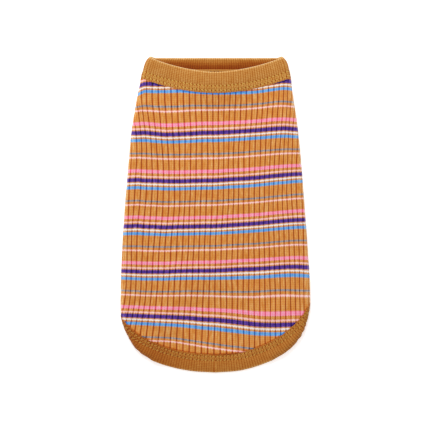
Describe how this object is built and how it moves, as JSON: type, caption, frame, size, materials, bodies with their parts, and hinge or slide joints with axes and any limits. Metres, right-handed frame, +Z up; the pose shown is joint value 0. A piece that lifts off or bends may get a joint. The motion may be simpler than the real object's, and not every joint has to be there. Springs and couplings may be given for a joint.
{
  "type": "dog tank top",
  "caption": "Sleeveless small-dog top in horizontally striped rib knit, with plain neck, hem and leg bands, laid flat on its belly with the back up.",
  "frame": {"origin": "centre of the garment's outline in plan, at the surface that it lies on", "axes": "+Y from the hem to the neck, +Z up out of the back of the garment, +X to the right as seen from above with the neck away from the viewer"},
  "size_m": [0.1616, 0.2693, 0.0098],
  "materials": {
    "striped_knit": "soft matt rib knit with coloured cross stripes",
    "band_knit": "soft matt fine rib knit in one colour"
  },
  "bodies": {
    "root": {"back_panel": "striped_knit", "belly_panel": "striped_knit", "neck_band": "band_knit", "hem_band": "band_knit", "leg_band_left": "band_knit", "leg_band_right": "band_knit"}
  },
  "joints": []
}
